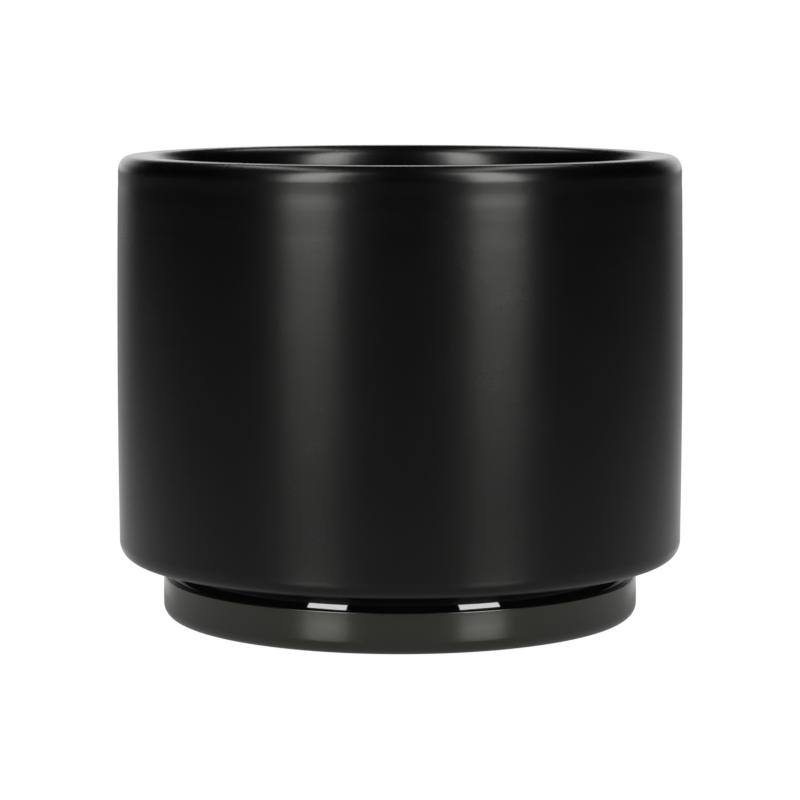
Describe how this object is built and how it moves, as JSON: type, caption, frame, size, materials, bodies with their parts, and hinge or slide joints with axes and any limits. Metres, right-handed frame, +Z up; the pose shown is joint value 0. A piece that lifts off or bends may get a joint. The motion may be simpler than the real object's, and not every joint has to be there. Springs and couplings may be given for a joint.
{
  "type": "empty candle jar",
  "caption": "Wide round black ceramic candle jar with a thick rounded rim, lifting off a smaller round base by way of a soft glossy seat ring.",
  "frame": {"origin": "on the floor, under the middle of the jar", "axes": "+Z up along the jar's axis"},
  "size_m": [0.1, 0.1, 0.0821],
  "materials": {
    "vessel_glaze": "satin black glaze",
    "base_glaze": "satin black glaze",
    "ring_rubber": "polished black",
    "pad_rubber": "matt dark grey"
  },
  "bodies": {
    "stand": {"base": "base_glaze", "seat_ring": "ring_rubber", "foot_pad_1": "pad_rubber", "foot_pad_2": "pad_rubber", "foot_pad_3": "pad_rubber", "foot_pad_4": "pad_rubber"},
    "jar": {"vessel": "vessel_glaze"}
  },
  "joints": [
    {"name": "vessel_lift", "type": "slide", "parent": "stand", "child": "jar", "axis": [0, 0, 1], "range_m": [0, 0.03]}
  ]
}
